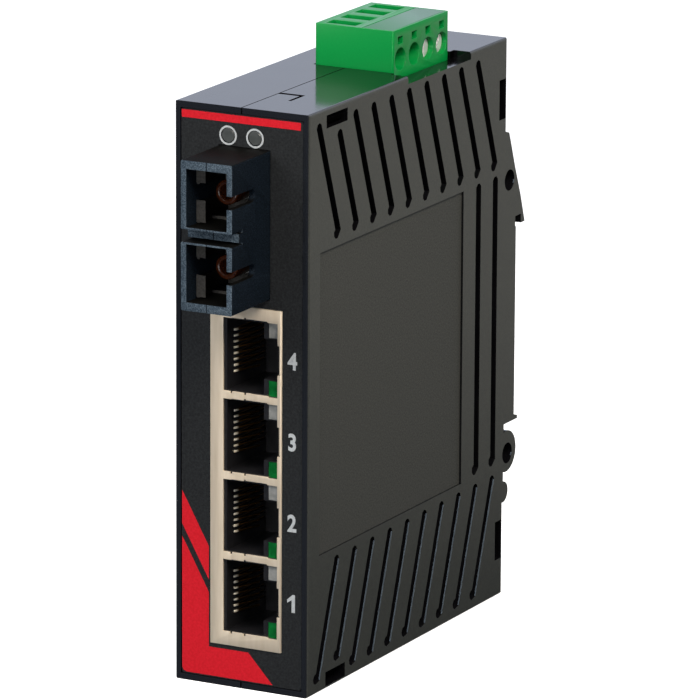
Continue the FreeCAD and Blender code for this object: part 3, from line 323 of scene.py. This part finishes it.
def transceiver_plastic():
    """Glass-filled PBT: dark blue-grey and speckled with fibre, its front faces painted pale as
    painted light.

    The front edges carry a paler painted highlight, faces that look up are painted near black as
    painted shade, and a parting line runs down the middle. The fibres are finer than this and are
    drawn as coarse as they need to show.
    """
    made, tree, shader, place = start_material("glass_filled_pbt")
    low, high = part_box("transceiver_housing")
    speck = add(tree, "ShaderNodeTexNoise", {
        "Vector": place, "Scale": per(0.22), "Detail": 3.0, "Roughness": 0.8}, "Fac")
    across = add(tree, "ShaderNodeSeparateXYZ", {"Vector": place}, "X")
    along = add(tree, "ShaderNodeSeparateXYZ", {"Vector": place}, "Y")
    normal = add(tree, "ShaderNodeNewGeometry", out="True Normal")
    facing_y = add(tree, "ShaderNodeSeparateXYZ", {"Vector": normal}, "Y")
    facing_z = add(tree, "ShaderNodeSeparateXYZ", {"Vector": normal}, "Z")

    # Faces that look up are painted near black, as painted shade.
    upward_painted_shade = add(tree, "ShaderNodeMapRange", {
        "Value": facing_z, "From Min": 0.5, "From Max": 0.9})
    body = add(tree, "ShaderNodeMix", {
        FACTOR: upward_painted_shade, COLOUR_A: two_tones(tree, speck, "#080c11", "#202b36", (0.42, 0.68)),
        COLOUR_B: linear("#0b0b0a")}, MIXED_COLOUR, data_type="RGBA")

    off_middle = add(tree, "ShaderNodeMath", {
        0: across, 1: (low.x + high.x) / 2}, operation="SUBTRACT")
    distance = add(tree, "ShaderNodeMath", {0: off_middle}, operation="ABSOLUTE")
    parting = add(tree, "ShaderNodeMapRange", {
        "Value": distance, "From Min": 0.12 * MM, "From Max": 0.06 * MM})
    # The front faces are speckled like the walls but painted paler, as painted light.
    speckled = add(tree, "ShaderNodeMix", {
        FACTOR: parting, COLOUR_A: two_tones(tree, speck, "#303c46", "#62707b", (0.42, 0.66)),
        COLOUR_B: linear("#10161c")}, MIXED_COLOUR, data_type="RGBA")
    # The bevelled front edges are painted pale blue-grey, as a painted highlight.
    forward = add(tree, "ShaderNodeMapRange", {
        "Value": facing_y, "From Min": -0.3, "From Max": -0.4})
    not_flat = add(tree, "ShaderNodeMapRange", {
        "Value": facing_y, "From Min": -0.95, "From Max": -0.9})
    edge_painted_highlight = add(tree, "ShaderNodeMath", {0: forward, 1: not_flat}, operation="MULTIPLY")
    face = add(tree, "ShaderNodeMix", {
        FACTOR: edge_painted_highlight, COLOUR_A: speckled, COLOUR_B: linear("#b4c2ca")},
        MIXED_COLOUR, data_type="RGBA")

    near_front = add(tree, "ShaderNodeMapRange", {
        "Value": along, "From Min": low.y + 4 * MM, "From Max": low.y + 3 * MM})
    front_face_painted_light = add(tree, "ShaderNodeMath", {0: forward, 1: near_front}, operation="MULTIPLY")
    colour = add(tree, "ShaderNodeMix", {
        FACTOR: front_face_painted_light, COLOUR_A: body, COLOUR_B: face}, MIXED_COLOUR, data_type="RGBA")
    bump = add(tree, "ShaderNodeBump", {
        "Height": speck, "Strength": 0.4, "Distance": 0.03 * MM}, "Normal")
    set_shader(
        tree, shader, Base_Color=colour, Normal=bump, Roughness=0.5, IOR=1.5,
        Specular_IOR_Level=0.05)
    return made


def latch_plastic():
    """Grey PBT latch arms: matt, with only their front ends grey and the rest painted near black as
    painted shade.
    """
    made, tree, shader, place = start_material("grey_pbt")
    grain = add(tree, "ShaderNodeTexNoise", {
        "Vector": place, "Scale": per(0.4), "Detail": 2.0}, "Fac")
    normal = add(tree, "ShaderNodeNewGeometry", out="True Normal")
    facing_y = add(tree, "ShaderNodeSeparateXYZ", {"Vector": normal}, "Y")
    forward = add(tree, "ShaderNodeMapRange", {
        "Value": facing_y, "From Min": -0.5, "From Max": -0.8})
    # Only the front ends show the grey; every other face is painted near black as painted shade.
    colour = add(tree, "ShaderNodeMix", {
        FACTOR: forward, COLOUR_A: linear("#0c0c0b"),
        COLOUR_B: two_tones(tree, grain, "#3a3936", "#4c4a47")}, MIXED_COLOUR, data_type="RGBA")
    set_shader(
        tree, shader, Base_Color=colour, Roughness=0.5, IOR=1.5, Specular_IOR_Level=0.2)
    return made


def epoxy(name, dark, pale, through):
    """Cast epoxy: a tinted, slightly cloudy body under a bright skin."""
    made, tree, shader, place = start_material(name)
    cloud = add(tree, "ShaderNodeTexNoise", {
        "Vector": place, "Scale": per(1.2), "Detail": 2.0}, "Fac")
    set_shader(
        tree, shader, Base_Color=two_tones(tree, cloud, dark, pale), Roughness=0.18, IOR=1.53,
        Transmission_Weight=through)
    return made


finish = {
    "case": case_plastic(),
    "film": label_film(),
    "ink_red": printed_ink("red_screen_ink", "#cd101e", "#da1a2a"),
    "ink_white": printed_ink("white_screen_ink", "#b2b6b7", "#c0c4c4"),
    "shield": plated_bronze(),
    # Injection moulded, with an even satin skin.
    "jack": moulded("black_pbt", "#111113", "#1d1d20", rough=0.38, grain_mm=0.5),
    "gold": sprung_bronze(),
    "clear_lamp": epoxy("clear_epoxy", "#8d8e8a", "#adada8", through=0.25),
    "green_lamp": epoxy("green_epoxy", "#03531f", "#0b7a32", through=0.15),
    "status_lamp": epoxy("smoked_epoxy", "#434645", "#4e5150", through=0.0),
    "transceiver": transceiver_plastic(),
    # Moulded amber and glossy: a deep brown with sharp highlights.
    "barrel": moulded(
        "amber_polyetherimide", "#36180a", "#4a230f", rough=0.2, grain_mm=0.8, depth_mm=0, ior=1.6),
    "latch": latch_plastic(),
    # Moulded from a polished tool: an even strong green with a soft sheen.
    "plug": moulded(
        "green_polyamide", "#00863a", "#008b3c", rough=0.32, grain_mm=0.4, depth_mm=0, level=0.35),
    "cap": moulded(
        "pale_green_polyamide", "#3d7455", "#417959", rough=0.3, grain_mm=0.4, depth_mm=0,
        level=0.35),
    # Bright zinc on a cold-headed screw: pale and a little cloudy.
    "screw": metal(
        "zinc_plated_steel", "#dfe1e1", "#eef0f0", rough=0.4, grain_mm=0.8, metallic=0.45),
    # Bright nickel on a turned collar.
    "collar": metal(
        "nickel_plated_brass", "#c9ced1", "#e2e6e8", rough=0.25, grain_mm=0.5, metallic=0.3),
    # Nickel on pressed steel: warmer and duller than the collar.
    "clamp": metal("nickel_plated_steel", "#a7a59f", "#c8c5bd", rough=0.3, grain_mm=0.5),
    # Tin on drawn wire and pressed forks: a pale soft grey.
    "tin": metal("tin_plated_copper", "#b5b3ae", "#d2d0ca", rough=0.3, grain_mm=0.5),
    # Cured green lacquer over the board: smooth, with slight clouding.
    "board": moulded("green_solder_mask", "#0d3a22", "#12502e", rough=0.35, grain_mm=0.8),
    # Transfer-moulded packages: dull and close-grained.
    "chip": moulded("black_moulding_compound", "#141415", "#202022", rough=0.5, grain_mm=0.3),
    # Drawn cans with a bright, faintly brushed wall.
    "can": metal("drawn_aluminium", "#a9abad", "#cfd1d2", rough=0.28, grain_mm=0.6),
}

finish_of_node = {
    "housing_left": "case", "housing_right": "case", "front_label": "film",
    "status_lamp_left": "status_lamp", "status_lamp_right": "status_lamp",
    "jack_shield": "shield", "jack_body": "jack",
    "clear_port_lamps": "clear_lamp", "green_port_lamps": "green_lamp",
    "transceiver_housing": "transceiver", "optical_barrels": "barrel",
    "transceiver_latches": "latch", "transceiver_leads": "tin",
    "plug_body": "plug", "plug_cap": "cap", "power_header": "plug", "header_pins": "tin",
    "main_board": "board", "line_transformer_1": "chip", "line_transformer_2": "chip",
    "switch_chip": "chip", "power_chip": "chip", "supply_inductor": "chip",
    "clock_crystal": "can", "supply_capacitors": "can",
}
for port in PORTS:
    finish_of_node[f"port_{port}_contacts"] = "gold"
for pole in POLES:
    finish_of_node[f"clamp_frame_{pole}"] = "clamp"
    finish_of_node[f"plug_contact_{pole}"] = "tin"
    finish_of_node[f"clamp_plate_{pole}"] = "clamp"
    finish_of_node[f"terminal_screw_{pole}"] = "screw"

body_of_node = {
    node: body for body, members in frame["record"]["behaviour"]["bodies"].items()
    for node in members}


def dress(piece, material):
    """Give a piece one material."""
    piece.data.materials.clear()
    piece.data.materials.append(material)


for name, node in nodes.items():
    dress(node, finish[finish_of_node[name]])


# ---------------------------------------------------------------- rounded copies of solids
def place_piece(name, mesh, body, material):
    """Put a mesh in the scene as a named piece, on its body."""
    piece = bpy.data.objects.new(name, mesh)
    bpy.context.scene.collection.objects.link(piece)
    dress(piece, material)
    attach(piece, body)
    return piece


def case_piece(name, work, material):
    """Turn a bmesh into a piece of the case, on the case's body."""
    mesh = bpy.data.meshes.new(name)
    work.to_mesh(mesh)
    work.free()
    place_piece(name, mesh, "switch_case", finish[material])


def soften(name, width_mm, smooth=True):
    """A copy of a solid with its sharp edges rounded, which stands in for it."""
    weld, level, sharp = 0.002 * MM, math.radians(1), math.radians(35)
    work = bmesh.new()
    work.from_mesh(nodes[name].data)
    bmesh.ops.remove_doubles(work, verts=work.verts, dist=weld)
    bmesh.ops.dissolve_limit(work, angle_limit=level, verts=work.verts, edges=work.edges)
    mesh = bpy.data.meshes.new(name + "_softened")
    work.to_mesh(mesh)
    work.free()
    for face in mesh.polygons:
        face.use_smooth = smooth
    piece = place_piece(
        name + "_softened", mesh, body_of_node[name],
        finish[finish_of_node[name]])
    bevel = piece.modifiers.new("Rounded edges", "BEVEL")
    bevel.width = width_mm * MM
    bevel.segments = 2
    bevel.limit_method = "ANGLE"
    bevel.angle_limit = sharp
    bevel.use_clamp_overlap = True
    bevel.harden_normals = smooth
    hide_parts(name)


# The case stays flat shaded, because its broad polished faces would bend what they mirror.
for name in ("housing_left", "housing_right"):
    soften(name, 0.08, smooth=False)
for name, width_mm in (
    ("plug_body", 0.15), ("plug_cap", 0.12), ("transceiver_housing", 0.12), ("jack_shield", 0.08),
    ("port_1_contacts", 0.12), ("port_2_contacts", 0.12), ("port_3_contacts", 0.12),
    ("port_4_contacts", 0.12), ("terminal_screw_3", 0.12), ("terminal_screw_4", 0.12),
    ("optical_barrels", 0.25),
):
    soften(name, width_mm)


# ---------------------------------------------------------------- printing on the label
label_low, label_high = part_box("front_label")
left, right = label_low.x, label_high.x
bottom, top = label_low.z, label_high.z


def thicken(work, way):
    """Give the flat faces of a bmesh an ink's thickness, and turn them all outwards."""
    grown = bmesh.ops.extrude_face_region(work, geom=list(work.faces))
    lifted = [item for item in grown["geom"] if isinstance(item, bmesh.types.BMVert)]
    bmesh.ops.translate(work, verts=lifted, vec=way)
    bmesh.ops.recalc_face_normals(work, faces=work.faces)


def print_field(name, outline, ink):
    """A printed field on the label's face, from its outline across and up."""
    work = bmesh.new()
    work.faces.new([work.verts.new((x, label_low.y, z)) for x, z in outline])
    thicken(work, (0, -INK, 0))
    case_piece(name, work, ink)


def red_bar():
    """A bar along the label's top edge."""
    west, east = left + 0.1 * MM, right - 0.45 * MM
    over, under = top - 0.25 * MM, top - 1.55 * MM
    print_field("red_bar", [(west, over), (west, under), (east, under), (east, over)], "ink_red")


def red_fields():
    """A corner field and a slanted band above it, between the label's edge and the jack shield."""
    shield_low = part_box("jack_shield")[0]
    west, east = left + 0.1 * MM, shield_low.x - 0.35 * MM
    foot, shelf = bottom + 0.2 * MM, shield_low.z - 0.8 * MM
    fall = 9.2 * MM
    corner_up, band_low, band_high = bottom + 24 * MM, bottom + 26.2 * MM, bottom + 32 * MM
    print_field("red_corner", [
        (west, corner_up), (west, bottom + 1.0 * MM), (left + 0.35 * MM, bottom + 0.45 * MM),
        (left + 0.9 * MM, foot), (left + 17.5 * MM, foot), (left + 12.8 * MM, shelf),
        (east, shelf), (east, corner_up - fall),
    ], "ink_red")
    print_field("red_band", [
        (west, band_high), (west, band_low), (east, band_low - fall), (east, band_high - fall),
    ], "ink_red")


def lamp_ring(name, lamp):
    """A printed ring round a status lamp."""
    low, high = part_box(lamp)
    centre = (low + high) / 2
    work = bmesh.new()
    for radius_mm in (1.65, 1.34):
        bmesh.ops.create_circle(work, cap_ends=False, segments=64, radius=radius_mm * MM)
    bmesh.ops.bridge_loops(work, edges=work.edges)
    thicken(work, (0, 0, INK))
    bmesh.ops.transform(work, verts=work.verts, matrix=(
        Matrix.Translation((centre.x, label_low.y, centre.z))
        @ Matrix.Rotation(math.pi / 2, 4, "X")))
    case_piece(name, work, "ink_white")


def numeral_place(port):
    """The middle of the numeral beside a port, across and up."""
    low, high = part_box(f"port_{port}_contacts")
    return right - 1.9 * MM, (low.z + high.z) / 2 + 0.25 * MM


def numeral_one():
    """A plain bold numeral one: a stem with a flag."""
    across, up = numeral_place(1)
    half, flag = 1.55 * MM, 0.85 * MM
    inner, outer = 0.192 * MM, 0.64 * MM
    print_field("port_number_1", [
        (across + outer, up + half), (across + inner, up + half),
        (across - flag, up + 0.42 * half), (across - flag, up + 0.05 * half),
        (across, up + 0.4 * half), (across, up - half), (across + outer, up - half),
    ], "ink_white")


def port_number(port):
    """A plain bold numeral beside its port."""
    across, up = numeral_place(port)
    narrow = 0.86
    words = bpy.data.curves.new(f"numeral_{port}", "FONT")
    words.body = str(port)
    words.size = 4.05 * MM
    words.offset = 0.12 * MM
    words.extrude = INK / 2
    words.resolution_u = 6
    words.align_x = "CENTER"
    words.align_y = "CENTER"
    shape = bpy.data.objects.new("numeral", words)
    bpy.context.scene.collection.objects.link(shape)
    bpy.context.view_layer.update()
    mesh = bpy.data.meshes.new_from_object(shape.evaluated_get(
        bpy.context.evaluated_depsgraph_get()))
    bpy.data.objects.remove(shape)
    corners = [v.co for v in mesh.vertices]
    middle = Vector((
        (min(c.x for c in corners) + max(c.x for c in corners)) / 2,
        (min(c.y for c in corners) + max(c.y for c in corners)) / 2, 0))
    mesh.transform(
        Matrix.Translation((across, label_low.y - INK / 2, up))
        @ Matrix.Rotation(math.pi / 2, 4, "X")
        @ Matrix.Diagonal((narrow, 1.0, 1.0, 1.0)) @ Matrix.Translation(-middle))
    place_piece(
        f"port_number_{port}", mesh, "switch_case",
        finish["ink_white"])


red_bar()
red_fields()
lamp_ring("left_lamp_ring", "status_lamp_left")
lamp_ring("right_lamp_ring", "status_lamp_right")
numeral_one()
for port in PORTS[1:]:
    port_number(port)


# ---------------------------------------------------------------- trim inside the ports
def contact_noses(port):
    """The bent noses of a port's eight springs, where they turn back under the plug."""
    low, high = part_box(f"port_{port}_contacts")
    springs, wire, inset, radius = 8, 0.4 * MM, 0.3 * MM, 0.27 * MM
    pitch = (high.z - low.z - wire) / (springs - 1)
    work = bmesh.new()
    for spring in range(springs):
        bmesh.ops.create_uvsphere(
            work, u_segments=16, v_segments=10, radius=radius, matrix=Matrix.Translation((
                low.x + inset, low.y + inset, low.z + wire / 2 + spring * pitch)))
    for face in work.faces:
        face.smooth = True
    case_piece(f"port_{port}_noses", work, "gold")


def latch_face(name, under, over):
    """The flat front end of a latch arm, between two heights."""
    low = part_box("transceiver_latches")[0]
    width, thick, rounding = 1.75 * MM, 0.3 * MM, 0.08 * MM
    work = bmesh.new()
    bmesh.ops.create_cube(work, size=1.0)
    bmesh.ops.scale(work, verts=work.verts, vec=(width, thick, over - under))
    bmesh.ops.bevel(
        work, geom=work.edges, offset=rounding, affect="EDGES", segments=2, profile=0.5,
        material=-1)
    bmesh.ops.translate(work, verts=work.verts, vec=(
        low.x + width / 2, low.y - thick / 2, (under + over) / 2))
    case_piece(name, work, "latch")


def barrel_collar(name, up):
    """The metal collar at the root of an optical barrel."""
    low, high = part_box("optical_barrels")
    wall, depth, rounding, behind_tip = 0.12 * MM, 1.1 * MM, 0.15 * MM, 6.2 * MM
    radius = (high.x - low.x) / 2 + wall
    work = bmesh.new()
    bmesh.ops.create_cone(
        work, cap_ends=True, segments=40, radius1=radius, radius2=radius, depth=depth)
    rims = [e for e in work.edges if len(e.link_faces) == 2 and e.calc_face_angle() > 1]
    bmesh.ops.bevel(
        work, geom=rims, offset=rounding, affect="EDGES", segments=2, profile=0.5, material=-1)
    bmesh.ops.transform(work, verts=work.verts, matrix=(
        Matrix.Translation(((low.x + high.x) / 2, low.y + behind_tip, up))
        @ Matrix.Rotation(math.pi / 2, 4, "X")))
    case_piece(name, work, "collar")


def fibre_ports():
    """The latch ends and the collar of each fibre port, placed from its barrel's middle."""
    low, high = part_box("optical_barrels")
    radius = (high.x - low.x) / 2
    upper, lower = high.z - radius, low.z + radius
    latch_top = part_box("transceiver_latches")[1].z
    for label, up, over in (("upper", upper, latch_top), ("lower", lower, lower + 4.8 * MM)):
        latch_face(f"{label}_port_top_latch_face", up + 2.0 * MM, over)
        latch_face(f"{label}_port_low_latch_face", up - 4.7 * MM, up - 0.9 * MM)
        barrel_collar(f"{label}_port_collar", up)


for port in PORTS:
    contact_noses(port)
fibre_ports()


# ---------------------------------------------------------------- stage, light and camera
def floor():
    """A pale floor that the part itself sees as a dim one, with painted shadow near the part that
    brightens further back.
    """
    made, tree, shader, place = start_material("pale_studio_floor")
    set_shader(
        tree, shader, Base_Color=linear("#f4f4f2"), Roughness=0.9, Specular_IOR_Level=0.1)
    path = add(tree, "ShaderNodeLightPath").node.outputs
    seen = add(tree, "ShaderNodeMath", {
        0: path["Is Camera Ray"], 1: path["Is Transmission Ray"]}, operation="MAXIMUM")
    along = add(tree, "ShaderNodeSeparateXYZ", {"Vector": place}, "Y")
    # Seen from the part, the floor is painted dark near the part as its shadow, and brighter
    # further back.
    shade = two_tones(tree, along, "#333c48", "#e6e5dc", (0.0, 0.35))
    dim = add(tree, "ShaderNodeBsdfDiffuse", {"Color": shade})
    glow = add(tree, "ShaderNodeEmission", {"Color": linear("#ffffff"), "Strength": 0.7})
    pale = add(tree, "ShaderNodeAddShader", {0: shader.outputs[0], 1: glow})
    either = add(tree, "ShaderNodeMixShader", {0: seen, 1: dim, 2: pale})
    tree.links.new(either, tree.nodes["Material Output"].inputs["Surface"])
    half_width = 3.0
    work = bmesh.new()
    bmesh.ops.create_grid(work, x_segments=1, y_segments=1, size=half_width)
    bmesh.ops.translate(work, verts=work.verts, vec=(0, 0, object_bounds()[0].z))
    mesh = bpy.data.meshes.new("floor")
    work.to_mesh(mesh)
    work.free()
    ground = bpy.data.objects.new("floor", mesh)
    bpy.context.scene.collection.objects.link(ground)
    dress(ground, made)
    ground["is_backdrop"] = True


def world():
    """A white room to the camera; to the part, a bright card behind it and dim walls elsewhere."""
    card_way = Vector((-0.46, 0.86, 0.24)).normalized()
    card_level, wall_level, ambient = 1.05, 0.22, 0.33
    room = bpy.data.worlds.new("studio")
    bpy.context.scene.world = room
    room.use_nodes = True
    tree = room.node_tree
    background = tree.nodes["Background"]
    path = add(tree, "ShaderNodeLightPath").node.outputs
    way = add(tree, "ShaderNodeTexCoord", out="Generated")
    towards_card = add(
        tree, "ShaderNodeVectorMath", {0: way, 1: card_way}, "Value", operation="DOT_PRODUCT")
    mirrored = add(tree, "ShaderNodeMapRange", {
        "Value": towards_card, "From Min": 0.4, "From Max": 0.7,
        "To Min": wall_level, "To Max": card_level})
    lighting = add(tree, "ShaderNodeMix", {
        FACTOR: path["Is Glossy Ray"], NUMBER_A: ambient, NUMBER_B: mirrored}, data_type="FLOAT")
    direct = add(tree, "ShaderNodeMath", {
        0: path["Is Camera Ray"], 1: path["Is Transmission Ray"]}, operation="MAXIMUM")
    level = add(tree, "ShaderNodeMix", {
        FACTOR: direct, NUMBER_A: lighting, NUMBER_B: 1.0}, data_type="FLOAT")
    tint = add(tree, "ShaderNodeMix", {
        FACTOR: direct, COLOUR_A: linear("#e4ecff"), COLOUR_B: linear("#ffffff")},
        MIXED_COLOUR, data_type="RGBA")
    tree.links.new(tint, background.inputs["Color"])
    tree.links.new(level, background.inputs["Strength"])


def softbox(name, place, aim, side, power, colour="#ffffff"):
    """A square area lamp at a place, pointed at an aim."""
    lamp = bpy.data.lights.new(name, "AREA")
    lamp.shape = "RECTANGLE"
    lamp.size = side
    lamp.size_y = side
    lamp.energy = power
    lamp.color = linear(colour)[:3]
    light = bpy.data.objects.new(name, lamp)
    bpy.context.scene.collection.objects.link(light)
    light.matrix_world = (
        Matrix.Translation(place)
        @ (Vector(aim) - Vector(place)).to_track_quat("-Z", "Y").to_matrix().to_4x4())


def camera():
    """A long lens in front of the part, to its right and a little above."""
    place = (0.53973, -1.05810, 0.29438)
    azimuth, elevation, roll = (math.radians(degrees) for degrees in (27.88, 14.28, 0.302))
    data = bpy.data.cameras.new("camera")
    data.sensor_width = 36
    data.lens = 356.6
    data.clip_end = 20
    eye = bpy.data.objects.new("camera", data)
    bpy.context.scene.collection.objects.link(eye)
    eye.matrix_world = (
        Matrix.Translation(place)
        @ Matrix.Rotation(azimuth, 4, "Z")
        @ Matrix.Rotation(math.pi / 2 - elevation, 4, "X")
        @ Matrix.Rotation(roll, 4, "Z"))
    bpy.context.scene.camera = eye


floor()
world()
softbox("key", place=(-0.7, -0.9, 0.9), aim=(0, -0.03, 0), side=0.8, power=11)
softbox("front", place=(0.10, -1.10, 0.14), aim=(0, -0.03, 0), side=0.3, power=2.8)
softbox(
    "side", place=(0.30, -0.22, 0.36), aim=(0, -0.04, 0.03), side=0.2, power=2.4, colour="#fff4e6")
camera()
bpy.context.scene.view_settings.view_transform = "Standard"
